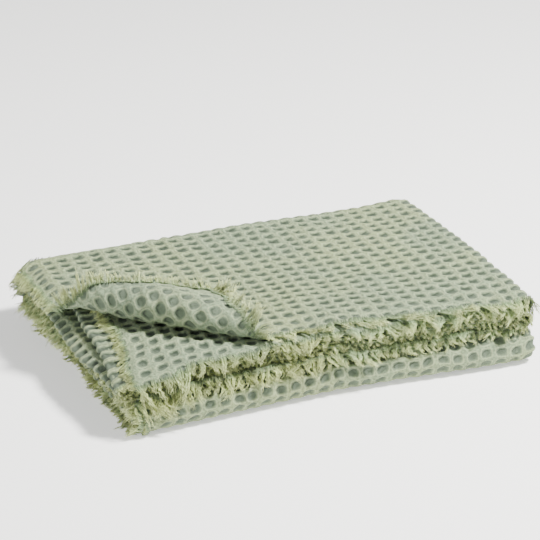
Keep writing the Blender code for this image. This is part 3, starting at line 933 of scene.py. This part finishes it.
def yarn_sizes(fray, fold, marks, own, tuft, flat):
    """The length of each yarn: its own share times its tuft's, its place's and its stretch's."""
    size = fray.length * spread(own.size, OWN_LENGTH) * spread(tuft.size, TUFT_LENGTH)
    size = size * (1.0 + EVEN_LENGTH * wander(marks, 0.0, SIZE_WAVES, fray.seed + 1))
    size = size * np.where(own.wave > LONG_FROM, LONGER, 1.0)
    by_stretch = np.interp(marks, np.ravel(fold.stretches), fray.by_stretch)
    return size * by_stretch * (1 + FLAT_LONGER * flat)


# %% How the yarns bend
def bend_down(fray, own, tuft, flat, arc, share, step, rooted):
    """Distances out and down along each yarn: the sums of cos and sin of its angle, which turns evenly from
    its first to its last."""
    last = fray.droop * spread(tuft.droop, TUFT_DROOP) * (1 - flat) - FLAT_RISE * flat
    last = last + OWN_END * (own.end - 0.5)
    first = FIRST_ANGLE * last - FLAT_START * flat + OWN_START * (own.start - 0.5)
    angle = (first[:, None] + (last - first)[:, None] * share) * (arc > 0)
    middle_angle = (angle[:, 1:] + angle[:, :-1]) / 2
    zero = np.zeros((len(step), 1))
    out = np.concatenate((zero, np.cumsum(np.cos(middle_angle) * step[:, None], axis=1)), axis=1)
    down = np.concatenate((zero, np.cumsum(np.sin(middle_angle) * step[:, None], axis=1)), axis=1)
    return out - rooted[:, None], down


def sway(fray, own, tuft, pull, drift, flat, size, arc, share):
    """How far each yarn is aside, and its kinks and its rise over the cloth's middle. It is drawn to its
    tuft's middle, leans and curls, and its small kinks are a wave both ways."""
    pull = spread(tuft.pull, TUFT_PULL) * pull
    lean = (LEAN_SHARES[0] * tuft.lean + LEAN_SHARES[1] * drift - LEAN_MIDDLE) * fray.lean
    lean = (lean * (1 - FLAT_LEAN * flat) + (own.lean - 0.5) * OWN_LEAN) * size
    curl = CURL * (tuft.pull - 0.5) * size
    waves = 2 * math.pi * (arc / KINK_LENGTH + tuft.size[:, None] + KINK_PHASE * own.wave[:, None])
    kink = fray.kink * np.sqrt(share)
    side = pull[:, None] * share ** 0.8 + lean[:, None] * share ** 1.3
    side = side + curl[:, None] * np.sin(math.pi * share) + kink * np.sin(waves)
    rise = TUFT_RISE * fray.kink * (tuft.pull[:, None] - RISE_MIDDLE) * share
    return side, kink * np.cos(KINK_UPWARDS * waves), rise


def yarn_lines(fray, fold, place, flat_share):
    """Middle lines of all the yarns of an edge, their tones and their lengths.

    Each leaves the edge straight, turns down evenly and joins its tuft. place(marks) gives a function from a
    distance out and a step along the edge to points. flat_share(marks) is 1 where the yarns lie on cloth and
    can't fall.
    """
    marks, own, tuft, tuft_middle = draw_yarns(fray, fold)
    flat = flat_share(marks)
    size = yarn_sizes(fray, fold, marks, own, tuft, flat)
    rooted = ROOTED + fray.rooted * own.root
    arc = (size + rooted)[:, None] * STAGES - rooted[:, None]
    share = np.clip(arc / size[:, None], 0.0, 1.0)
    out, down = bend_down(fray, own, tuft, flat, arc, share, (size + rooted) / (RINGS - 1), rooted)
    drift = 0.5 + LEAN_DRIFT * wander(tuft_middle, 0.0, LEAN_WAVES, fray.seed + 2)
    side, kink, rise = sway(fray, own, tuft, tuft_middle - marks, drift, flat, size, arc, share)
    over_face = EDGE_HALF + (HALF_THICK - EDGE_HALF) * ease(-out / EDGE_THIN) + ROOT_OVER_FACE
    level = np.where(own.side < 0.5, -1.0, 1.0)[:, None] * over_face * (1 - ease(arc / ROOT_REACH))
    level = level + kink + rise
    root, outward, sideways = edge_points(place(marks))
    square = np.cross(outward, sideways)
    line = root[:, None] + outward[:, None] * out[..., None] + sideways[:, None] * side[..., None]
    line += square[:, None] * level[..., None]
    line[..., 2] -= down
    tone = TONE_SHARES[0] * own.size + TONE_SHARES[1] * tuft.droop
    return stay_outside(line), tone, size


# %% Yarns into thin tubes
TONE_RADIUS, THINNER_TIP = (0.75, 0.5), 0.62


def yarn_mesh(name, lines, tone, size):
    """Three-sided tubes round the middle lines, thinner towards the tip, closed at both ends."""
    count, rings = lines.shape[:2]
    ahead = np.gradient(lines, axis=1)
    ahead /= np.maximum(np.linalg.norm(ahead, axis=-1, keepdims=True), 1e-9)
    helper = np.where(np.abs(ahead[..., 2:3]) < 0.8, np.array((0.0, 0.0, 1.0)), np.array((1.0, 0.0, 0.0)))
    first = np.cross(ahead, helper)
    first /= np.linalg.norm(first, axis=-1, keepdims=True)
    second = np.cross(ahead, first)
    radius = YARN_RADIUS * spread(tone[:, None], TONE_RADIUS) * (1.0 - THINNER_TIP * STAGES ** 1.5)
    turns = np.arange(3) * 2 * math.pi / 3
    ring = first[:, :, None] * np.cos(turns)[:, None] + second[:, :, None] * np.sin(turns)[:, None]
    points = lines[:, :, None] + ring * radius[..., None, None]
    index = np.arange(count * rings * 3).reshape(count, rings, 3)
    here, there = index[:, :-1], index[:, 1:]
    quads = np.stack((here, np.roll(here, -1, axis=2), np.roll(there, -1, axis=2), there), axis=-1)
    ends = np.concatenate((index[:, 0, ::-1], index[:, -1]))
    around = np.broadcast_to(np.arange(3) / 3, (count, rings, 3))
    length = np.broadcast_to((size[:, None] * STAGES)[..., None] * 1000, (count, rings, 3))
    uv = np.stack((around.ravel(), length.ravel()), axis=1)
    values = {
        "tone": np.broadcast_to(tone[:, None, None], (count, rings, 3)).ravel(),
        "towards_tip": np.broadcast_to(STAGES[None, :, None], (count, rings, 3)).ravel(),
    }
    return build_mesh(name, points.reshape(-1, 3), quads.reshape(-1, 4), ends, uv, values)


# %% [markdown]
# ## What the cotton looks like
#
# The yarn is dull and dry, so the finish is rough with a faint fuzz at grazing angles, which a little
# sheen gives. The ridges are a pale yellowish sage, and cooler on the cloth's other face. A lighter rim
# round each pit is a painted highlight. The pits are a slightly darker, bluer green, and their depth is
# painted shade on top of that. The mesh tells the material where each point lies in its pit, and how far
# the cloth is bent open there. Pits that are open get a lighter floor as painted light, with a ragged
# painted shadow as a dark crescent at one side; deep ones are painted very dark, only a little lighter
# on the side painted as lit. The raised threads are painted a little lighter and the low ones a little
# darker, as painted highlight and shade. The dye is uneven over the cloth. The threads and the fine
# crinkle are too small for the mesh, so they are a bump. The uneven dye, which cloth and yarns share,
# and the threads, which are two sets of fine waves across each other, are groups of nodes. The yarns
# are painted darker at the root as shade, and lighter towards the tip.


# %% A group of nodes for uneven dye
def new_group(name, inputs, outputs):
    """A node group with named sockets: inputs as (name, kind, value), outputs as (name, kind)."""
    group = bpy.data.node_groups.new(name, "ShaderNodeTree")
    for label, kind, value in inputs:
        socket = group.interface.new_socket(label, in_out="INPUT", socket_type=kind)
        if value is not None:
            socket.default_value = value
    for label, kind in outputs:
        group.interface.new_socket(label, in_out="OUTPUT", socket_type=kind)
    return group, group.nodes.new("NodeGroupInput"), group.nodes.new("NodeGroupOutput")


def use_group(tree, group, **inputs):
    """The group as one node of a material. Each word is one of its inputs."""
    node = tree.nodes.new("ShaderNodeGroup")
    node.node_tree = group
    for name, value in inputs.items():
        put(tree, node.inputs[name.replace("_", " ")], value)
    return node


def noise(tree, place, size, detail):
    """Soft noise, 0 to 1, whose blotches are about size metres across."""
    inputs = {"Vector": place, "Scale": 1.0 / size, "Detail": detail, "Roughness": 0.55}
    return add_node(tree, "ShaderNodeTexNoise", **inputs).outputs["Fac"]


DYE_BLOTCHES, DYE_SPECKLES = 0.11, 0.0026

dye, dye_in, dye_out = new_group(
    "uneven_dye",
    (
        ("Place", "NodeSocketVector", None),
        ("Colour", "NodeSocketColor", (0.5, 0.5, 0.5, 1.0)),
        ("Cooler", "NodeSocketColor", (0.4, 0.5, 0.5, 1.0)),
        ("Amount", "NodeSocketFloat", 0.5),
    ),
    (("Colour", "NodeSocketColor"),),
)
wide_blotch = steps_between(dye, noise(dye, dye_in.outputs["Place"], DYE_BLOTCHES, 2.0), 0.38, 0.66)
blotch = calculate(dye, "MULTIPLY", wide_blotch, dye_in.outputs["Amount"])
cooled = blend_colours(dye, blotch, dye_in.outputs["Colour"], dye_in.outputs["Cooler"])
fine_noise = noise(dye, dye_in.outputs["Place"], DYE_SPECKLES, 4.0)
speckle = steps_between(dye, fine_noise, 0.30, 0.70, 0.66, 1.24)
dye.links.new(times_grey(dye, cooled, speckle), dye_out.inputs["Colour"])
print("dye group has", len(dye.nodes), "nodes")

# %% A group of nodes for woven threads
threads, threads_in, threads_out = new_group(
    "woven_threads",
    (("Map", "NodeSocketVector", None), ("Threads in a cell", "NodeSocketFloat", 13.0)),
    (("Height", "NodeSocketFloat"), ("Float", "NodeSocketFloat")),
)
split = add_node(threads, "ShaderNodeSeparateXYZ", Vector=threads_in.outputs["Map"])
angle_in_a_cell = calculate(threads, "MULTIPLY", threads_in.outputs["Threads in a cell"], 2 * math.pi)
warp = calculate(threads, "SINE", calculate(threads, "MULTIPLY", split.outputs["X"], angle_in_a_cell))
weft = calculate(threads, "SINE", calculate(threads, "MULTIPLY", split.outputs["Y"], angle_in_a_cell))
crossing = calculate(threads, "MULTIPLY", warp, weft)
raised = calculate(threads, "ADD", crossing, calculate(threads, "ABSOLUTE", warp))
threads.links.new(calculate(threads, "MULTIPLY_ADD", raised, 0.3, 0.5), threads_out.inputs["Height"])


def middle_of_ridge(tree, one, other):
    """1 on a short patch in the middle of the ridge at whole numbers of one and halves of the other."""
    near, far = (
        calculate(tree, "ABSOLUTE", calculate(tree, "SUBTRACT", count, calculate(tree, "ROUND", count)))
        for count in (one, other)
    )
    on_ridge, halfway = steps_between(tree, near, 0.16, 0.08), steps_between(tree, far, 0.34, 0.42)
    return calculate(tree, "MULTIPLY", on_ridge, halfway)


floats_one_way = middle_of_ridge(threads, split.outputs["X"], split.outputs["Y"])
floats_other_way = middle_of_ridge(threads, split.outputs["Y"], split.outputs["X"])
one_dash = calculate(threads, "MULTIPLY", floats_one_way, weft)
other_dash = calculate(threads, "MULTIPLY", floats_other_way, warp)
threads.links.new(calculate(threads, "ADD", one_dash, other_dash), threads_out.inputs["Float"])
print("thread group has", len(threads.nodes), "nodes")


# %% The cotton of the cloth: its ridges
def point_value(tree, name):
    """A value that the mesh holds for each of its points."""
    node = tree.nodes.new("ShaderNodeAttribute")
    node.attribute_name = name
    return node.outputs["Fac"]


def yarn_map(tree):
    """The piece's own map, whose unit is a cell of the weave, or for a yarn a turn and a millimetre."""
    node = tree.nodes.new("ShaderNodeUVMap")
    node.uv_map = "yarn_map"
    return node.outputs["UV"]


RIDGE_COLOUR = (0.346, 0.422, 0.196, 1.0)
RIDGE_COOL = (0.246, 0.338, 0.208, 1.0)
# The lighter rim round each pit is a painted highlight.
RIM_HIGHLIGHT_COLOUR = (0.470, 0.540, 0.305, 1.0)
UNDERSIDE_COOLER = 0.55
RAGGED, RAGGED_SIZE = 0.24, 0.0032  # how much a pit's outline differs from its geometry
# Steps of the painted rim highlight by the distance from a pit's middle, which is 1 at half its wall
RIM_INSIDE, RIM_OUTSIDE, RIM_HIGHLIGHT_SHARE = (1.02, 1.14), (1.38, 1.22), 0.6

waffle_cotton, tree, shader = new_material("sage_waffle_cotton", 0.92)
place = add_node(tree, "ShaderNodeTexCoord").outputs["Object"]
underside = calculate(tree, "MULTIPLY", point_value(tree, "underside"), UNDERSIDE_COOLER)
face_colour = blend_colours(tree, underside, RIDGE_COLOUR, RIDGE_COOL)
dyed = use_group(tree, dye, Place=place, Colour=face_colour, Cooler=RIDGE_COOL, Amount=0.75)
ridge = dyed.outputs["Colour"]
ragged_noise = noise(tree, place, RAGGED_SIZE, 3.0)
ragged = calculate(tree, "MULTIPLY_ADD", ragged_noise, RAGGED, point_value(tree, "from_pit"))
ragged = calculate(tree, "SUBTRACT", ragged, RAGGED / 2)
out_of_wall, near_pit = steps_between(tree, ragged, *RIM_INSIDE), steps_between(tree, ragged, *RIM_OUTSIDE)
# The rim: a painted highlight on the edge round each pit.
rim = calculate(tree, "MULTIPLY", calculate(tree, "MULTIPLY", out_of_wall, near_pit), RIM_HIGHLIGHT_SHARE)
ridge_and_rim_highlight = blend_colours(tree, rim, ridge, RIM_HIGHLIGHT_COLOUR)
print("colours of ridge and rim", RIDGE_COLOUR[:3], RIM_HIGHLIGHT_COLOUR[:3])

# %% The pits of the cloth, painted in shade
# A pit's wall and floor are painted shade over its slightly darker, bluer own colour: deep pits are painted
# very dark, a little lighter only on the side painted as lit; open pits get a lighter floor as painted
# light, with a painted shadow crescent at one side and a ring of painted shade that varies at random.
DEEP_PIT_SHADE = (0.034, 0.058, 0.030, 1.0)
DEEP_LIT = (0.105, 0.150, 0.088, 1.0)
OPEN_COLOUR = (0.155, 0.212, 0.133, 1.0)
PIT_SHADOW_COLOUR = (0.044, 0.068, 0.040, 1.0)
# Steps by the distance from a pit's middle
INTO_WALL, INTO_FLOOR, CRESCENT_WALL = (1.20, 1.00), (1.06, 0.74), (0.25, 0.80)
# Steps towards the side with the painted shadow
CRESCENT_SIDE, UNLIT_SIDE = (0.10, 1.10), (0.0, 0.9)
PIT_SHADE_SIZE, PIT_SHADES, PIT_SHADE_SHARE = 0.013, (0.15, 0.95), 0.45
UNEVEN_SIZE, UNEVEN_SIDE = 0.0060, 0.9

pit_shade = steps_between(tree, noise(tree, place, PIT_SHADE_SIZE, 1.0), 0.40, 0.62, *PIT_SHADES)
uneven = noise(tree, place, UNEVEN_SIZE, 2.0)
shadow_way = calculate(tree, "MULTIPLY_ADD", uneven, UNEVEN_SIDE, point_value(tree, "aside"))
shadow_side = steps_between(tree, shadow_way, *CRESCENT_SIDE)
crescent = calculate(tree, "MULTIPLY", shadow_side, steps_between(tree, ragged, *CRESCENT_WALL))
shaded = calculate(tree, "MAXIMUM", crescent, calculate(tree, "MULTIPLY", pit_shade, PIT_SHADE_SHARE))
open_floor_light_and_shadow = blend_colours(tree, shaded, OPEN_COLOUR, PIT_SHADOW_COLOUR)
deep_floor_shade = blend_colours(tree, steps_between(tree, shadow_way, *UNLIT_SIDE), DEEP_LIT, DEEP_PIT_SHADE)
pit_floor_light_and_shade = blend_colours(tree, point_value(tree, "opened"), deep_floor_shade, open_floor_light_and_shadow)
wall = blend_colours(tree, 0.5, ridge, OPEN_COLOUR)
coloured = blend_colours(tree, steps_between(tree, ragged, *INTO_WALL), ridge_and_rim_highlight, wall)
coloured = blend_colours(tree, steps_between(tree, ragged, *INTO_FLOOR), coloured, pit_floor_light_and_shade)
print("colours of open and deep pits", OPEN_COLOUR[:3], DEEP_PIT_SHADE[:3])

# %% The threads and the crinkle of the cloth
SLUB, SLUB_SIZE = 0.8, 0.0020
CRINKLE, CRINKLE_SIZE = 3.4, 0.0044  # both are so much higher or lower than the threads
# Raised threads and the floats on the ridges are painted lighter, and low threads darker: painted highlight
# and shade of the thread relief.
THREAD_HIGHLIGHT_AND_SHADE, DASH_HIGHLIGHT = (0.93, 1.05), 0.12
SHEEN, SHEEN_ROUGHNESS = 0.08, 0.6


def finish_cotton(tree, shader, colour, height, strength, distance):
    """Join a colour and a bump, in which a height of 1 is the distance, and add the faint fuzz."""
    bump = add_node(tree, "ShaderNodeBump", Height=height, Strength=strength, Distance=distance)
    put(tree, shader.inputs["Base Color"], colour)
    put(tree, shader.inputs["Normal"], bump.outputs["Normal"])
    put(tree, shader.inputs["Sheen Weight"], SHEEN)
    put(tree, shader.inputs["Sheen Roughness"], SHEEN_ROUGHNESS)


woven = use_group(tree, threads, Map=yarn_map(tree))
# Painted highlight and shade by the threads' height, and a painted highlight on the floats.
thread_highlight_and_shade = steps_between(tree, woven.outputs["Height"], 0.0, 1.0, *THREAD_HIGHLIGHT_AND_SHADE)
thread_highlights = calculate(tree, "MULTIPLY_ADD", woven.outputs["Float"], DASH_HIGHLIGHT, thread_highlight_and_shade)
slubs, crinkle = noise(tree, place, SLUB_SIZE, 3.0), noise(tree, place, CRINKLE_SIZE, 3.0)
relief = calculate(tree, "MULTIPLY_ADD", slubs, SLUB, woven.outputs["Height"])
relief = calculate(tree, "MULTIPLY_ADD", crinkle, CRINKLE, relief)
finish_cotton(tree, shader, times_grey(tree, coloured, thread_highlights), relief, 1.0, 0.0010)
print("cloth material has", len(tree.nodes), "nodes")

# %% The cotton of the frayed yarns
YARN_COLOUR = (0.505, 0.575, 0.213, 1.0)
YARN_COOL = (0.365, 0.500, 0.262, 1.0)
# The root colour is painted shade where the yarns leave the cloth.
YARN_ROOT_SHADE = (0.170, 0.250, 0.120, 1.0)
YARN_TIP = (0.630, 0.695, 0.312, 1.0)
PLY_TURN = 5.0  # radians of the twist, in a millimetre
TONE_LIGHT = (0.60, 1.14)

frayed_cotton, tree, shader = new_material("frayed_cotton_yarn", 0.9)
place = add_node(tree, "ShaderNodeTexCoord").outputs["Object"]
tip = point_value(tree, "towards_tip")
yarn = use_group(tree, dye, Place=place, Colour=YARN_COLOUR, Cooler=YARN_COOL, Amount=0.8).outputs["Colour"]
# Painted shade at the root, fading out halfway along the yarn.
coloured = blend_colours(tree, steps_between(tree, tip, 0.0, 0.50), YARN_ROOT_SHADE, yarn)
coloured = blend_colours(tree, steps_between(tree, tip, 0.50, 1.0), coloured, YARN_TIP)
tone_light = steps_between(tree, point_value(tree, "tone"), 0.10, 0.90, *TONE_LIGHT)
round_and_along = add_node(tree, "ShaderNodeSeparateXYZ", Vector=yarn_map(tree)).outputs
round_yarn = calculate(tree, "MULTIPLY", round_and_along["X"], 2 * math.pi)
ply = calculate(tree, "SINE", calculate(tree, "MULTIPLY_ADD", round_and_along["Y"], PLY_TURN, round_yarn))
finish_cotton(tree, shader, times_grey(tree, coloured, tone_light), ply, 0.4, 0.0002)
print("yarn material has", len(tree.nodes), "nodes")

# %% [markdown]
# ## The pieces
#
# The cloth is one piece and each frayed edge is one more, as in the solids. Every yarn starts a little
# inside the cloth that it comes out of. The yarns of the turned-back corner lie on the top layer, so they
# hardly fall, and those of the top layer beyond it fall less than the others, which bend down over what
# is below.


# %% The cloth as a piece
def new_piece(name, mesh, material):
    """A piece of the throw, made of its mesh in one material."""
    mesh.materials.append(material)
    return new_object(name, mesh)


cloth_piece = new_piece("waffle_cloth_woven", cloth_mesh, waffle_cotton)
print(cloth_piece.name, "is made")


# %% The four frayed edges
def over_end(edge, outward):
    """The cloth near one end: from marks across it to points, outward of the edge and a step along it."""
    return lambda marks: lambda out, step: cloth(edge + outward * out + 0 * marks, marks + step)


def over_side(edge, outward):
    """The same near one side, from marks along the cloth."""
    return lambda marks: lambda out, step: cloth(marks + step, edge + outward * out + 0 * marks)


def in_flap(size, beyond=0.0):
    """1 for the yarns of the flap, and a smaller share for those of the top layer beyond it."""
    flap, top_layer = (size + 0.004, size - 0.012), (outer_panel.end + 0.01, outer_panel.end)
    return lambda marks: np.maximum(fade(marks, flap), beyond * fade(marks, top_layer))


def never(marks):
    """0 for every yarn: none of them lies on the top layer."""
    return 0.0 * marks


# The lengths at both ends of each stretch, as a share of the usual one
ALL_EVEN = (1,) * 8
TOP_SIDE_LENGTHS = (1.05, 1.15, 0.30, 0.35, 0.35, 0.30, 0.75, 1.05)
INNER_SIDE_LENGTHS = (1.15, 0.40, 0.30, 0.35, 0.35, 0.30, 0.35, 1.00)
END_YARNS = {"per_mm": 3.5, "rooted": 0.0045, "droop": 0.60, "tuft": 0.0040, "lean": 0.7, "kink": 0.0003}
SIDE_YARNS = {"per_mm": 2.5, "rooted": 0.0045, "tuft": 0.0080, "kink": 0.0010}
TOP_END = Fray("yarns_top_end", "fringe_top_end", length=0.0090, seed=21, by_stretch=ALL_EVEN, **END_YARNS)
INNER_END = Fray("yarns_inner_end", "fringe_inner_end", length=0.0082, seed=22, by_stretch=ALL_EVEN,
                 **END_YARNS)
TOP_SIDE = Fray("yarns_top_side", "fringe_top_side", length=0.0128, droop=0.62, lean=2.0, seed=23,
                by_stretch=TOP_SIDE_LENGTHS, **SIDE_YARNS)
INNER_SIDE = Fray("yarns_inner_side", "fringe_inner_side", length=0.0135, droop=1.00, lean=1.6, seed=24,
                  by_stretch=INNER_SIDE_LENGTHS, **SIDE_YARNS)
FRAYS = (
    (TOP_END, ACROSS, over_end(0.0, -1), in_flap(CORNER_ACROSS)),
    (INNER_END, ACROSS, over_end(ALONG.length, 1), never),
    (TOP_SIDE, ALONG, over_side(0.0, -1), in_flap(CORNER_ALONG, 0.42)),
    (INNER_SIDE, ALONG, over_side(ACROSS.length, 1), never),
)
yarn_pieces = []
for fray, fold, over, flat_share in FRAYS:
    lines, tone, size = yarn_lines(fray, fold, over, flat_share)
    mesh = yarn_mesh(fray.name, lines, tone, size)
    yarn_pieces.append(new_piece(fray.name, mesh, frayed_cotton))
    print(fray.name, len(lines), "yarns", 2 * len(mesh.polygons), "triangles or fewer")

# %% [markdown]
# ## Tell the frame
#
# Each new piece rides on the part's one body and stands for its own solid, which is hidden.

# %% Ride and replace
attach(cloth_piece, "root")
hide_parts("waffle_cloth")
for piece, (fray, _, _, _) in zip(yarn_pieces, FRAYS):
    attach(piece, "root")
    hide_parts(fray.node)
